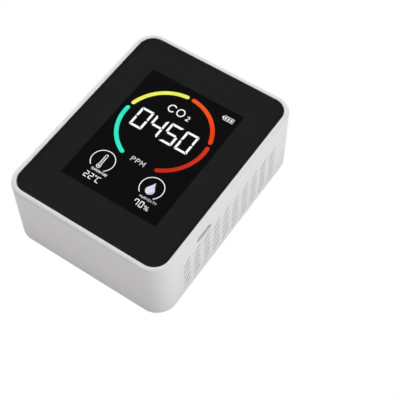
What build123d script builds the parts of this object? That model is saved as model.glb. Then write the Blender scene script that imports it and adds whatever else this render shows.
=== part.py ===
from build123d import *
import os

# Desktop carbon dioxide monitor, lying on its back with the display up.
# Units are millimetres. +X runs to the right across the display, +Y runs up the
# display, +Z points out of it. The origin is under the middle of the body, in
# the plane of the rubber feet.

# ---- driving dimensions -------------------------------------------------------

case_width = 72.0
case_length = 93.0
case_height = 33.0
corner_radius = 8.4
wall = 1.98
front_edge_radius = 1.2
rear_edge_radius = 0.5
part_gap = 0.1

foot_proud = 0.4
foot_radius = 4.0
foot_thickness = 1.0
foot_edge_radius = 0.25
foot_x = 24.0
foot_y = 32.5

lens_thickness = 1.2
lens_chamfer = 0.3
mask_gap = 0.02
mask_thickness = 0.1
tape_thickness = 0.25
tape_width = 4.0
tape_inset = 0.4
window_width = 43.4
window_length = 59.6
window_radius = 0.6
window_y = 0.55
ledge_thickness = 1.25
ledge_opening_width = 52.4
ledge_opening_length = 71.0
ledge_opening_radius = 2.0

cover_thickness = 2.0
cover_boss_height = 0.8
post_radius = 3.2
post_x = 29.6
post_y = 40.2
post_web_length = 4.4
post_web_width = 2.4

cover_screw_radius = 1.1
cover_screw_bite = 7.0
cover_head_radius = 2.1
cover_head_height = 1.3
head_edge_radius = 0.3
counterbore_radius = 2.5
counterbore_depth = 1.6
cover_hole_radius = 1.25
pilot_clearance = 0.05
pilot_spare_depth = 0.7
board_screw_radius = 1.0
board_screw_bite = 5.0
board_head_radius = 1.9
board_head_height = 1.2
drive_slot_width = 0.5
drive_slot_depth = 0.7

board_thickness = 1.6
board_edge_gap = 1.6
board_hole_radius = 1.25
boss_radius = 2.4
boss_x = 29.5
boss_y = 31.0
post_notch_gap = 0.8

port_y = -18.8
port_z = 26.45
port_width = 9.2
port_height = 3.5
shell_width = 8.9
shell_height = 3.2
shell_depth = 7.3
shell_recess = 0.4
shell_sheet = 0.3
shell_corner_flat = 0.25
shell_back_thickness = 1.0
tongue_base_depth = 1.2
tongue_base_fit = 0.03
tongue_width = 6.7
tongue_thickness = 0.7
tongue_recess = 0.9
tongue_chamfer = 0.15

vent_columns = 10
vent_rows = 5
vent_column_pitch = 6.54
vent_row_pitch = 3.75
vent_middle_y = -0.55
vent_top_z = 21.1
vent_length = 5.4
vent_width = 1.05
vent_slant = 40.0

button_clearance = 0.2
button_flange = 0.7
button_flange_thickness = 0.8
button_travel = 0.5
button_edge_radius = 0.35
stem_width = 3.0
stem_height = 1.6
switch_width = 6.0
switch_height = 3.5
switch_depth = 3.6
plunger_width = 3.0
plunger_height = 1.2
plunger_proud = 1.2
switch_front_x = -31.0
flange_gap = 0.07
plunger_pocket = 2.6
plunger_clearance = 0.1
plunger_spare_depth = 0.2

tray_wall = 1.2
tray_floor = 1.15
tray_width = 50.0
tray_low_y = -30.8
tray_high_y = 33.0
sheet_thickness = 0.2
guide_thickness = 2.6
diffuser_thickness = 0.3
sheet_clearance = 0.2
led_depth = 1.4
led_width = 3.0
led_height = 1.6
led_gap = 0.1
led_spacing = 14.0
glass_thickness = 1.05
contact_ledge = 3.0
display_pin_count = 20
display_pin_pitch = 2.0
display_pin_width = 0.5
display_pin_thickness = 0.3

battery_x = -19.0
battery_y = -2.0
battery_length = 65.0
can_radius = 9.1
wrap_thickness = 0.2
battery_lift = 0.4
can_edge_radius = 0.8
groove_from_end = 3.0
groove_radius = 0.8
groove_lift = 0.3
wrap_lip = 1.6
wrap_fit = 0.02
terminal_height = 1.0
terminal_radius = 3.0
terminal_edge_radius = 0.3
tab_thickness = 0.2
tab_width = 5.0
tab_length = 9.0
pad_width = 7.0
pad_length = 30.0
pad_thickness = 0.35
socket_x = -8.0
socket_width = 8.0
socket_length = 5.0
socket_height = 6.0
socket_wall = 0.6
socket_floor = 1.0
plug_y = 37.5
plug_width = 6.6
plug_length = 3.6
plug_gap = 0.2
plug_rear_z = 15.75
wire_pitch = 2.0
wire_z = 9.5
wire_radius = 0.65
wire_exit = 4.0
wire_plug_bend = 2.1
wire_red_bend = 2.5
wire_black_bend = 1.8

cradle_thickness = 2.0
cradle_half_width = 10.2
cradle_height = 6.0
cradle_offset = 20.0
cradle_clearance = 0.2
cradle_root = 0.5

sensor_x = 18.0
sensor_y = 8.0
sensor_width = 20.0
sensor_length = 33.5
sensor_board_thickness = 1.2
sensor_lift = 2.5
chamber_width = 17.0
chamber_length = 24.0
chamber_height = 7.0
chamber_wall = 1.0
chamber_corner_radius = 1.5
chamber_slots = 5
chamber_slot_length = 7.0
chamber_slot_width = 1.2
chamber_slot_pitch = 3.0
filter_width = 11.0
filter_length = 17.0
filter_radius = 2.0
filter_thickness = 0.4
pin_pitch = 2.54
pin_radius = 0.32
pin_hole_radius = 0.45
pin_proud = 0.6
pin_short = 0.1
header_from_end = 2.3
header_width = 2.5
header_hole_radius = 0.35
header_lengths = (12.7, 10.2)
lamp_offset = -8.0
lamp_radius = 1.5
lamp_height = 4.6
lamp_tip_radius = 1.4
detector_offset = 5.5
detector_radius = 4.1
detector_height = 4.2
detector_flange_radius = 4.6
detector_flange_thickness = 0.6
detector_window = 2.4
detector_window_depth = 0.3

# Small components on the rear of the main board: their middles and sizes.
microcontroller_place = (9.0, -22.0)
microcontroller_side = 10.0
microcontroller_height = 1.5
microcontroller_legs = 12
microcontroller_leg_pitch = 0.8
microcontroller_leg_width = 0.35
microcontroller_leg_reach = 1.0
charger_place = (23.0, -17.0)
charger_width = 3.9
charger_length = 4.9
charger_height = 1.6
charger_legs = 4
charger_leg_pitch = 1.27
charger_leg_width = 0.42
charger_leg_span = 6.0
chip_lift = 0.1
leg_height = 0.6
inductor_place = (23.5, -26.0)
inductor_side = 5.0
inductor_base_height = 0.8
inductor_height = 2.8
inductor_drum_inset = 0.15
crystal_place = (9.0, -34.0)
crystal_length = 10.2
crystal_width = 3.8
crystal_height = 3.4
crystal_flange = 0.4
capacitor_places = [(17.0, -16.0), (17.0, -19.0), (17.0, -22.0), (1.0, -18.0), (1.0, -22.0), (1.0, -26.0),
                    (17.0, -33.0), (17.0, -36.0)]
capacitor_length = 2.0
capacitor_width = 1.25
capacitor_height = 1.2
climate_place = (22.5, -38.5)
climate_side = 3.0
climate_height = 1.1
climate_hole_radius = 0.6
climate_hole_depth = 0.5

# ---- levels and outlines that follow from them ----------------------------------

rear_z = foot_proud
cover_inner_z = rear_z + cover_thickness
post_low_z = cover_inner_z + cover_boss_height
inner_width = case_width - 2 * wall
inner_length = case_length - 2 * wall
inner_radius = corner_radius - wall
lens_width = inner_width - 2 * part_gap
lens_length = inner_length - 2 * part_gap
lens_radius = inner_radius - part_gap
lens_rear_z = case_height - lens_thickness
mask_front_z = lens_rear_z - mask_gap
mask_rear_z = mask_front_z - mask_thickness
ledge_front_z = mask_rear_z - tape_thickness
ledge_rear_z = ledge_front_z - ledge_thickness
ledge_middle_z = ledge_front_z - ledge_thickness / 2
board_front_z = port_z - shell_height / 2
board_rear_z = board_front_z - board_thickness
board_width = inner_width - 2 * board_edge_gap
board_length = inner_length - 2 * board_edge_gap
wall_inner_x = inner_width / 2
case_half = case_width / 2
shell_mouth_x = case_half - shell_recess
shell_back_x = shell_mouth_x - shell_depth
shell_hollow_x = shell_back_x + shell_back_thickness
flange_outer_x = flange_gap - wall_inner_x
flange_inner_x = flange_outer_x + button_flange_thickness
plunger_tip_x = switch_front_x - plunger_proud
mirror_signs = [(1, 1), (1, -1), (-1, 1), (-1, -1)]

reflector_z = board_front_z + tray_floor
guide_z = reflector_z + sheet_thickness
diffuser_z = guide_z + guide_thickness
rear_polarizer_z = diffuser_z + diffuser_thickness
rear_glass_z = rear_polarizer_z + sheet_thickness
front_glass_z = rear_glass_z + glass_thickness
front_polarizer_z = front_glass_z + glass_thickness
sheet_width = tray_width - 2 * (tray_wall + sheet_clearance)
sheet_low_y = tray_low_y + tray_wall + sheet_clearance
sheet_high_y = tray_high_y - tray_wall - sheet_clearance

wrap_radius = can_radius + wrap_thickness
battery_z = cover_inner_z + battery_lift + wrap_radius
battery_low_y = battery_y - battery_length / 2
battery_high_y = battery_y + battery_length / 2
can_end_y = battery_high_y - terminal_height

sensor_front_z = board_rear_z - sensor_lift
sensor_rear_z = sensor_front_z - sensor_board_thickness
chamber_rear_z = sensor_rear_z - chamber_height
chamber_roof_z = chamber_rear_z + chamber_wall
header_offset = sensor_length / 2 - header_from_end


# ---- helpers ----------------------------------------------------------------------

def plate(width, length, radius, z_low, z_high):
    """Flat plate with rounded corners, centred on the Z axis."""
    outline = RectangleRounded(width, length, radius)
    return extrude(Pos(0, 0, z_low) * outline, z_high - z_low)


def block(x_span, y_span, z_span):
    """Box between a low and a high value on each axis."""
    size = [high - low for low, high in (x_span, y_span, z_span)]
    middle = [(high + low) / 2 for low, high in (x_span, y_span, z_span)]
    return Pos(*middle) * Box(*size)


def centred_block(x, y, width, length, z_low, z_high):
    """Box centred on a point of the board, between two levels."""
    return block((x - width / 2, x + width / 2), (y - length / 2, y + length / 2), (z_low, z_high))


def rod(x, y, radius, z_low, z_high):
    """Upright cylinder between two levels."""
    return Pos(x, y, (z_low + z_high) / 2) * Cylinder(radius, z_high - z_low)


def pill(width, height, x_low, x_high):
    """Bar with a pill-shaped section at the height of the port, running along X."""
    section = Plane.YZ * Pos(port_y, port_z) * SlotOverall(width, height)
    return Pos(x_low, 0, 0) * extrude(section, x_high - x_low)


def at_corners(x, y, make):
    """One solid from make(x, y) in each quadrant."""
    return [make(x * sign_x, y * sign_y) for sign_x, sign_y in mirror_signs]


def group(solids):
    """Separate solids that share one node."""
    return Compound(children=list(solids))


def fused(solids):
    """One solid out of overlapping or touching ones."""
    first, *others = solids
    return first.fuse(*others).clean()


# ---- white case ---------------------------------------------------------------------

def vent_slots():
    """Rows of slanted slots, cut through both long side walls at once."""
    slots = []
    for column in range(vent_columns):
        for row in range(vent_rows):
            y = vent_middle_y + (column - (vent_columns - 1) / 2) * vent_column_pitch
            z = vent_top_z - row * vent_row_pitch
            slot = Plane.YZ * Pos(y, z) * Rot(0, 0, vent_slant) * SlotOverall(vent_length, vent_width)
            slots.append(extrude(slot, case_width, both=True))
    return slots


def corner_post(x, y, z_high):
    """Screw post for the rear cover, tied to the rounded corner by a web."""
    direction = 45 if x * y > 0 else -45
    reach = post_web_length / 2 if x > 0 else -post_web_length / 2
    middle_z = (post_low_z + z_high) / 2
    web = Box(post_web_length, post_web_width, z_high - post_low_z)
    web = Pos(x, y, middle_z) * Rot(0, 0, direction) * Pos(reach, 0, 0) * web
    return fused([rod(x, y, post_radius, post_low_z, z_high), web])


def make_housing():
    """One-piece shell: four walls, the ledge under the lens, cover posts and board bosses."""
    body = plate(case_width, case_length, corner_radius, rear_z, case_height)
    body = fillet(body.faces().sort_by(Axis.Z)[-1].edges(), front_edge_radius)
    body = fillet(body.faces().sort_by(Axis.Z)[0].edges(), rear_edge_radius)
    body -= plate(inner_width, inner_length, inner_radius, rear_z, ledge_rear_z)
    body -= plate(inner_width, inner_length, inner_radius, ledge_front_z, case_height)
    body -= plate(ledge_opening_width, ledge_opening_length, ledge_opening_radius,
                  ledge_rear_z, ledge_front_z)

    def pilot_hole(x, y, screw_radius, low_z, bite):
        return rod(x, y, screw_radius + pilot_clearance, low_z, low_z + bite + pilot_spare_depth)

    body += at_corners(post_x, post_y, lambda x, y: corner_post(x, y, ledge_middle_z))
    body += at_corners(boss_x, boss_y, lambda x, y: rod(x, y, boss_radius, board_front_z, ledge_middle_z))
    body -= at_corners(post_x, post_y, lambda x, y: pilot_hole(x, y, cover_screw_radius, post_low_z,
                                                               cover_screw_bite))
    body -= at_corners(boss_x, boss_y, lambda x, y: pilot_hole(x, y, board_screw_radius, board_front_z,
                                                               board_screw_bite))

    body -= vent_slots()
    body -= pill(port_width, port_height, wall_inner_x - part_gap, case_half)
    body -= pill(port_width, port_height, -case_half, part_gap - wall_inner_x)
    return body


def make_rear_cover():
    """Flat inset cover with screw seats, foot recesses and two saddles for the cell."""
    width = inner_width - 2 * part_gap
    length = inner_length - 2 * part_gap
    radius = inner_radius - part_gap
    body = plate(width, length, radius, rear_z, cover_inner_z)
    pads = plate(width, length, radius, rear_z, post_low_z)
    body += [pads & pad for pad in at_corners(post_x, post_y, lambda x, y: rod(x, y, post_radius, rear_z,
                                                                               post_low_z))]
    for offset in (-cradle_offset, cradle_offset):
        body += centred_block(battery_x, battery_y + offset, 2 * cradle_half_width, cradle_thickness,
                              cover_inner_z - cradle_root, cover_inner_z + cradle_height)
    body -= lying_cylinder(wrap_radius + cradle_clearance, battery_low_y, battery_high_y)

    seat_z = rear_z + counterbore_depth
    body -= at_corners(post_x, post_y, lambda x, y: rod(x, y, counterbore_radius, rear_z, seat_z))
    body -= at_corners(post_x, post_y, lambda x, y: rod(x, y, cover_hole_radius, rear_z, post_low_z))
    body -= at_corners(foot_x, foot_y, lambda x, y: rod(x, y, foot_radius + part_gap, rear_z, foot_thickness))
    return body


def screw(x, y, thread_radius, head_radius, head_height, head_top_z, bite_z):
    """Self-tapping screw, head towards the rear, with a cross drive."""
    head_rear_z = head_top_z - head_height
    head = rod(x, y, head_radius, head_rear_z, head_top_z)
    head = fillet(head.faces().sort_by(Axis.Z)[0].edges(), head_edge_radius)
    shank = rod(x, y, thread_radius, head_top_z - head_height / 10, bite_z)
    shank = chamfer(shank.faces().sort_by(Axis.Z)[-1].edges(), thread_radius / 2)
    slot_length = 1.3 * head_radius
    slot_top_z = head_rear_z + drive_slot_depth
    cross = [centred_block(x, y, slot_length, drive_slot_width, head_rear_z, slot_top_z),
             centred_block(x, y, drive_slot_width, slot_length, head_rear_z, slot_top_z)]
    return fused([head, shank]) - cross


def make_cover_screws():
    """Four screws that hold the rear cover to the posts."""
    seat_z = rear_z + counterbore_depth
    tip_z = post_low_z + cover_screw_bite
    return group(at_corners(post_x, post_y, lambda x, y: screw(
        x, y, cover_screw_radius, cover_head_radius, cover_head_height, seat_z, tip_z)))


def make_rubber_feet():
    """Four round pads let into the rear cover."""
    def foot(x, y):
        pad = rod(x, y, foot_radius, 0, foot_thickness)
        return fillet(pad.faces().sort_by(Axis.Z)[0].edges(), foot_edge_radius)
    return group(at_corners(foot_x, foot_y, foot))


# ---- front lens and display ------------------------------------------------------------

def make_front_lens():
    """Clear flat lens, flush with the rim."""
    body = plate(lens_width, lens_length, lens_radius, lens_rear_z, case_height)
    return chamfer(body.faces().sort_by(Axis.Z)[-1].edges(), lens_chamfer)


def make_lens_mask():
    """Black printed film behind the lens, with the display window left clear."""
    body = plate(lens_width, lens_length, lens_radius, mask_rear_z, mask_front_z)
    window = RectangleRounded(window_width, window_length, window_radius)
    return body - extrude(Pos(0, window_y, mask_rear_z) * window, mask_thickness)


def make_lens_tape():
    """Frame of double-sided tape between the mask and the ledge."""
    width = inner_width - 2 * tape_inset
    length = inner_length - 2 * tape_inset
    body = plate(width, length, inner_radius - tape_inset, ledge_front_z, mask_rear_z)
    return body - plate(width - 2 * tape_width, length - 2 * tape_width, ledge_opening_radius,
                        ledge_front_z, mask_rear_z)


def display_sheet(z_low, thickness, low_y=sheet_low_y, high_y=sheet_high_y):
    """Flat layer of the display that lies inside the tray."""
    return block((-sheet_width / 2, sheet_width / 2), (low_y, high_y), (z_low, z_low + thickness))


def make_backlight_tray():
    """White tray that stands on the board and holds the display layers."""
    half = tray_width / 2
    front_z = front_glass_z + glass_thickness / 2
    body = block((-half, half), (tray_low_y, tray_high_y), (board_front_z, front_z))
    inner_y = (tray_low_y + tray_wall, tray_high_y - tray_wall)
    body -= block((tray_wall - half, half - tray_wall), inner_y, (reflector_z, front_z))
    glass_gate_y = (tray_low_y, inner_y[0])
    return body - block((tray_wall - half, half - tray_wall), glass_gate_y, (rear_glass_z, front_z))


def make_reflector_sheet():
    """White reflector under the light guide."""
    return display_sheet(reflector_z, sheet_thickness)


def make_light_guide():
    """Clear acrylic plate that spreads the light of the side lamps."""
    return display_sheet(guide_z, guide_thickness, high_y=sheet_high_y - led_depth - 2 * led_gap)


def make_backlight_leds():
    """Three side-shining white lamps at the upper end of the light guide."""
    y_span = (sheet_high_y - led_depth - led_gap, sheet_high_y)
    return group(block((x - led_width / 2, x + led_width / 2), y_span, (guide_z, guide_z + led_height))
                 for x in (-led_spacing, 0, led_spacing))


def make_diffuser_sheet():
    """Milky sheet over the light guide."""
    return display_sheet(diffuser_z, diffuser_thickness)


def make_rear_polarizer():
    """Polarizing film behind the display glass."""
    return display_sheet(rear_polarizer_z, sheet_thickness)


def make_display_rear_glass():
    """Rear glass, longer at the lower end to carry the contact pins."""
    return display_sheet(rear_glass_z, glass_thickness, low_y=tray_low_y - contact_ledge)


def make_display_front_glass():
    """Front glass, with the liquid crystal between it and the rear one."""
    return display_sheet(front_glass_z, glass_thickness)


def make_front_polarizer():
    """Polarizing film in front of the display glass."""
    return display_sheet(front_polarizer_z, sheet_thickness)


def make_display_pins():
    """Row of pins from the board to the contact ledge of the rear glass."""
    y = tray_low_y - contact_ledge / 2
    first = -(display_pin_count - 1) / 2 * display_pin_pitch
    return group(centred_block(first + index * display_pin_pitch, y, display_pin_width,
                               display_pin_thickness, board_front_z, rear_glass_z)
                 for index in range(display_pin_count))


# ---- main board -----------------------------------------------------------------------

def pin_places():
    """Places of the pins that carry the gas sensor, at both ends of its board."""
    lower = [(sensor_x + pin_pitch * step, sensor_y - header_offset) for step in (-2, -1, 0, 1, 2)]
    upper = [(sensor_x + pin_pitch * step, sensor_y + header_offset) for step in (-1.5, -0.5, 0.5, 1.5)]
    return lower + upper


def make_main_board():
    """Circuit board with notches for the cover posts and holes for screws and pins."""
    body = plate(board_width, board_length, inner_radius - board_edge_gap, board_rear_z, board_front_z)
    body -= at_corners(post_x, post_y, lambda x, y: rod(x, y, post_radius + post_notch_gap, board_rear_z,
                                                        board_front_z))
    body -= at_corners(boss_x, boss_y, lambda x, y: rod(x, y, board_hole_radius, board_rear_z, board_front_z))
    return body - [rod(x, y, pin_hole_radius, board_rear_z, board_front_z) for x, y in pin_places()]


def make_board_screws():
    """Four screws that hold the board to the bosses under the ledge."""
    tip_z = board_front_z + board_screw_bite
    return group(at_corners(boss_x, boss_y, lambda x, y: screw(
        x, y, board_screw_radius, board_head_radius, board_head_height, board_rear_z, tip_z)))


def make_microcontroller():
    """Square chip with gull-wing legs on four sides."""
    x, y = microcontroller_place
    side = microcontroller_side
    span = side + 2 * microcontroller_leg_reach
    width = microcontroller_leg_width
    body = centred_block(x, y, side, side, board_rear_z - microcontroller_height, board_rear_z - chip_lift)
    legs = []
    for step in range(microcontroller_legs):
        shift = (step - (microcontroller_legs - 1) / 2) * microcontroller_leg_pitch
        legs.append(centred_block(x + shift, y, width, span, board_rear_z - leg_height, board_rear_z))
        legs.append(centred_block(x, y + shift, span, width, board_rear_z - leg_height, board_rear_z))
    return fused([body] + legs)


def make_charger_chip():
    """Eight-legged battery charging chip beside the port."""
    x, y = charger_place
    body = centred_block(x, y, charger_width, charger_length, board_rear_z - charger_height,
                         board_rear_z - chip_lift)
    legs = []
    for step in range(charger_legs):
        leg_y = y + (step - (charger_legs - 1) / 2) * charger_leg_pitch
        legs.append(centred_block(x, leg_y, charger_leg_span, charger_leg_width, board_rear_z - leg_height,
                                  board_rear_z))
    return fused([body] + legs)


def make_inductor():
    """Square power inductor with a round ferrite drum."""
    x, y = inductor_place
    base_z = board_rear_z - inductor_base_height
    base = centred_block(x, y, inductor_side, inductor_side, base_z, board_rear_z)
    drum = rod(x, y, inductor_side / 2 - inductor_drum_inset, board_rear_z - inductor_height, base_z)
    return fused([base, drum])


def make_crystal():
    """Low metal can of the clock crystal."""
    x, y = crystal_place
    flange_z = board_rear_z - crystal_flange
    can_outline = SlotOverall(crystal_length, crystal_width)
    can = extrude(Pos(x, y, board_rear_z - crystal_height) * can_outline, crystal_height - crystal_flange)
    flange_outline = SlotOverall(crystal_length + 2 * crystal_flange, crystal_width + 2 * crystal_flange)
    return fused([can, extrude(Pos(x, y, flange_z) * flange_outline, crystal_flange)])


def make_capacitors():
    """Small ceramic capacitors round the chips."""
    return group(centred_block(x, y, capacitor_length, capacitor_width, board_rear_z - capacitor_height,
                               board_rear_z)
                 for x, y in capacitor_places)


def make_climate_sensor():
    """Small temperature and humidity chip with a round opening to the air."""
    x, y = climate_place
    low_z = board_rear_z - climate_height
    body = centred_block(x, y, climate_side, climate_side, low_z, board_rear_z)
    return body - rod(x, y, climate_hole_radius, low_z, low_z + climate_hole_depth)


# ---- charging port -----------------------------------------------------------------------

def port_section(inset):
    """Rounded section of the port's metal shell, drawn in by an inset."""
    width = shell_width - 2 * inset
    height = shell_height - 2 * inset
    radius = height / 2 - shell_corner_flat
    return Plane.YZ * Pos(port_y, port_z) * RectangleRounded(width, height, radius)


def make_usb_shell():
    """Steel shell of the charging port, closed at the back."""
    shell = Pos(shell_back_x, 0, 0) * extrude(port_section(0), shell_depth)
    hollow = Pos(shell_hollow_x, 0, 0) * extrude(port_section(shell_sheet), shell_mouth_x - shell_hollow_x)
    return shell - hollow


def make_usb_tongue():
    """Black insert with the flat tongue that carries the contacts."""
    base_section = port_section(shell_sheet + tongue_base_fit)
    base = Pos(shell_hollow_x, 0, 0) * extrude(base_section, tongue_base_depth)
    tongue = block((shell_hollow_x, shell_mouth_x - tongue_recess),
                   (port_y - tongue_width / 2, port_y + tongue_width / 2),
                   (port_z - tongue_thickness / 2, port_z + tongue_thickness / 2))
    tongue = chamfer(tongue.faces().sort_by(Axis.X)[-1].edges(), tongue_chamfer)
    return fused([base, tongue])


# ---- power button and its switch -------------------------------------------------------------

def make_power_button():
    """Pill-shaped button flush with the left wall, trapped by a flange inside it."""
    cap_width = port_width - 2 * button_clearance
    cap_height = port_height - 2 * button_clearance
    cap = pill(cap_width, cap_height, -case_half, flange_inner_x)
    cap = fillet(cap.faces().sort_by(Axis.X)[0].edges(), button_edge_radius)
    flange = pill(port_width + 2 * button_flange, port_height + 2 * button_flange,
                  flange_outer_x, flange_inner_x)
    stem = block((flange_outer_x, plunger_tip_x), (port_y - stem_width / 2, port_y + stem_width / 2),
                 (port_z - stem_height / 2, port_z + stem_height / 2))
    return fused([cap, flange, stem])


def make_switch_body():
    """Side-pressed switch on the board, with a pocket for its plunger."""
    body = block((switch_front_x, switch_front_x + switch_depth),
                 (port_y - switch_width / 2, port_y + switch_width / 2),
                 (board_front_z, board_front_z + switch_height))
    room = plunger_clearance
    pocket = block((switch_front_x, switch_front_x + plunger_pocket),
                   (port_y - plunger_width / 2 - room, port_y + plunger_width / 2 + room),
                   (port_z - plunger_height / 2 - room, port_z + plunger_height / 2 + room))
    return body - pocket


def make_switch_plunger():
    """Plunger of the switch, touching the stem of the button."""
    inner_end_x = switch_front_x + plunger_pocket - button_travel - plunger_spare_depth
    return block((plunger_tip_x, inner_end_x),
                 (port_y - plunger_width / 2, port_y + plunger_width / 2),
                 (port_z - plunger_height / 2, port_z + plunger_height / 2))


# ---- battery --------------------------------------------------------------------------------

def lying_cylinder(radius, low_y, high_y):
    """Cylinder along Y on the axis of the cell."""
    cylinder = Cylinder(radius, high_y - low_y)
    return Pos(battery_x, (low_y + high_y) / 2, battery_z) * Rot(90, 0, 0) * cylinder


def make_battery_cell():
    """Round steel can of the cell, with the rolled groove near its positive end."""
    can = lying_cylinder(can_radius, battery_low_y, can_end_y)
    can = fillet(can.faces().sort_by(Axis.Y)[0].edges(), can_edge_radius)
    groove = Rot(90, 0, 0) * Torus(can_radius + groove_lift, groove_radius)
    return can - Pos(battery_x, can_end_y - groove_from_end, battery_z) * groove


def make_battery_terminal():
    """Raised positive terminal of the cell."""
    cap = lying_cylinder(terminal_radius, can_end_y, battery_high_y)
    return fillet(cap.faces().sort_by(Axis.Y)[-1].edges(), terminal_edge_radius)


def make_battery_wrap():
    """Heat-shrink sleeve round the can, turned in over both of its ends."""
    lip = wrap_thickness
    sleeve = lying_cylinder(wrap_radius, battery_low_y - lip, can_end_y + lip)
    sleeve -= lying_cylinder(can_radius + wrap_fit, battery_low_y - wrap_fit, can_end_y + wrap_fit)
    return sleeve - lying_cylinder(can_radius - wrap_lip, battery_low_y - 2 * lip, can_end_y + 2 * lip)


def make_battery_tabs():
    """Nickel strips welded to the two ends of the cell."""
    x_span = (battery_x - tab_width / 2, battery_x + tab_width / 2)
    z_span = (battery_z - tab_length / 2, battery_z + tab_length / 2)
    front = block(x_span, (battery_high_y, battery_high_y + tab_thickness), z_span)
    back = block(x_span, (battery_low_y - tab_thickness, battery_low_y), z_span)
    return group([front, back])


def make_battery_pad():
    """Foam strip between the cell and the rear cover."""
    return centred_block(battery_x, battery_y, pad_width, pad_length, cover_inner_z,
                         cover_inner_z + pad_thickness)


def wire(points, radii):
    """Round insulated wire along straight runs joined by arcs."""
    route = FilletPolyline(*points, radius=radii)
    section = Plane(origin=route @ 0, z_dir=route % 0) * Circle(wire_radius)
    return sweep(section, path=route)


def make_battery_wire_red():
    """Lead from the positive tab to the plug."""
    x = socket_x - wire_pitch / 2
    return wire([(x, plug_y, plug_rear_z), (x, plug_y, wire_z), (battery_x, plug_y, wire_z),
                 (battery_x, battery_high_y + tab_thickness, wire_z)], [wire_plug_bend, wire_red_bend])


def make_battery_wire_black():
    """Lead from the negative tab, along the cell, to the plug."""
    x = socket_x + wire_pitch / 2
    turn_y = battery_low_y - tab_thickness - wire_exit
    return wire([(x, plug_y, plug_rear_z), (x, plug_y, wire_z), (x, turn_y, wire_z),
                 (battery_x, turn_y, wire_z), (battery_x, battery_low_y - tab_thickness, wire_z)],
                [wire_plug_bend, wire_black_bend, wire_black_bend])


def make_battery_socket():
    """Two-way socket on the rear of the board."""
    rim_z = board_rear_z - socket_height
    body = centred_block(socket_x, plug_y, socket_width, socket_length, rim_z, board_rear_z)
    return body - centred_block(socket_x, plug_y, socket_width - 2 * socket_wall,
                                socket_length - 2 * socket_wall, rim_z, board_rear_z - socket_floor)


def make_battery_plug():
    """Plug on the battery leads, pushed into the socket."""
    return centred_block(socket_x, plug_y, plug_width, plug_length, plug_rear_z,
                         board_rear_z - socket_floor - plug_gap)


# ---- gas sensor -------------------------------------------------------------------------------

def make_sensor_board():
    """Small circuit board of the gas sensor."""
    body = centred_block(sensor_x, sensor_y, sensor_width, sensor_length, sensor_rear_z, sensor_front_z)
    return body - [rod(x, y, pin_hole_radius, sensor_rear_z, sensor_front_z) for x, y in pin_places()]


def make_sensor_headers():
    """Two plastic strips that space the sensor from the main board."""
    strips = []
    for offset, length in zip((-header_offset, header_offset), header_lengths):
        strips.append(centred_block(sensor_x, sensor_y + offset, length, header_width, sensor_front_z,
                                    board_rear_z))
    holes = [rod(x, y, header_hole_radius, sensor_front_z, board_rear_z) for x, y in pin_places()]
    return group(strip - holes for strip in strips)


def make_sensor_pins():
    """Gold-plated pins through the strips and both boards."""
    return group(rod(x, y, pin_radius, sensor_rear_z - pin_proud, board_front_z - pin_short)
                 for x, y in pin_places())


def make_gas_chamber():
    """Optical chamber: an inverted box with a row of slots for the air."""
    body = centred_block(sensor_x, sensor_y, chamber_width, chamber_length, chamber_rear_z, sensor_rear_z)
    body = fillet(body.edges().filter_by(Axis.Z), chamber_corner_radius)
    body -= centred_block(sensor_x, sensor_y, chamber_width - 2 * chamber_wall,
                          chamber_length - 2 * chamber_wall, chamber_roof_z, sensor_rear_z)
    for step in range(chamber_slots):
        y = sensor_y + (step - (chamber_slots - 1) / 2) * chamber_slot_pitch
        body -= centred_block(sensor_x, y, chamber_slot_length, chamber_slot_width, chamber_rear_z,
                              chamber_roof_z)
    return body


def make_chamber_filter():
    """White dust membrane stuck over the slots of the chamber."""
    outline = RectangleRounded(filter_width, filter_length, filter_radius)
    return extrude(Pos(sensor_x, sensor_y, chamber_rear_z - filter_thickness) * outline, filter_thickness)


def make_infrared_lamp():
    """Small bulb at one end of the chamber."""
    lamp = rod(sensor_x, sensor_y + lamp_offset, lamp_radius, sensor_rear_z - lamp_height, sensor_rear_z)
    return fillet(lamp.faces().sort_by(Axis.Z)[0].edges(), lamp_tip_radius)


def make_infrared_detector():
    """Round metal can with a square window, facing the chamber."""
    x, y = sensor_x, sensor_y + detector_offset
    face_z = sensor_rear_z - detector_height
    can = rod(x, y, detector_radius, face_z, sensor_rear_z)
    flange = rod(x, y, detector_flange_radius, sensor_rear_z - detector_flange_thickness, sensor_rear_z)
    window = centred_block(x, y, detector_window, detector_window, face_z, face_z + detector_window_depth)
    return fused([can, flange]) - window


# ---- every node, by the name of its file ---------------------------------------------------------

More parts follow.
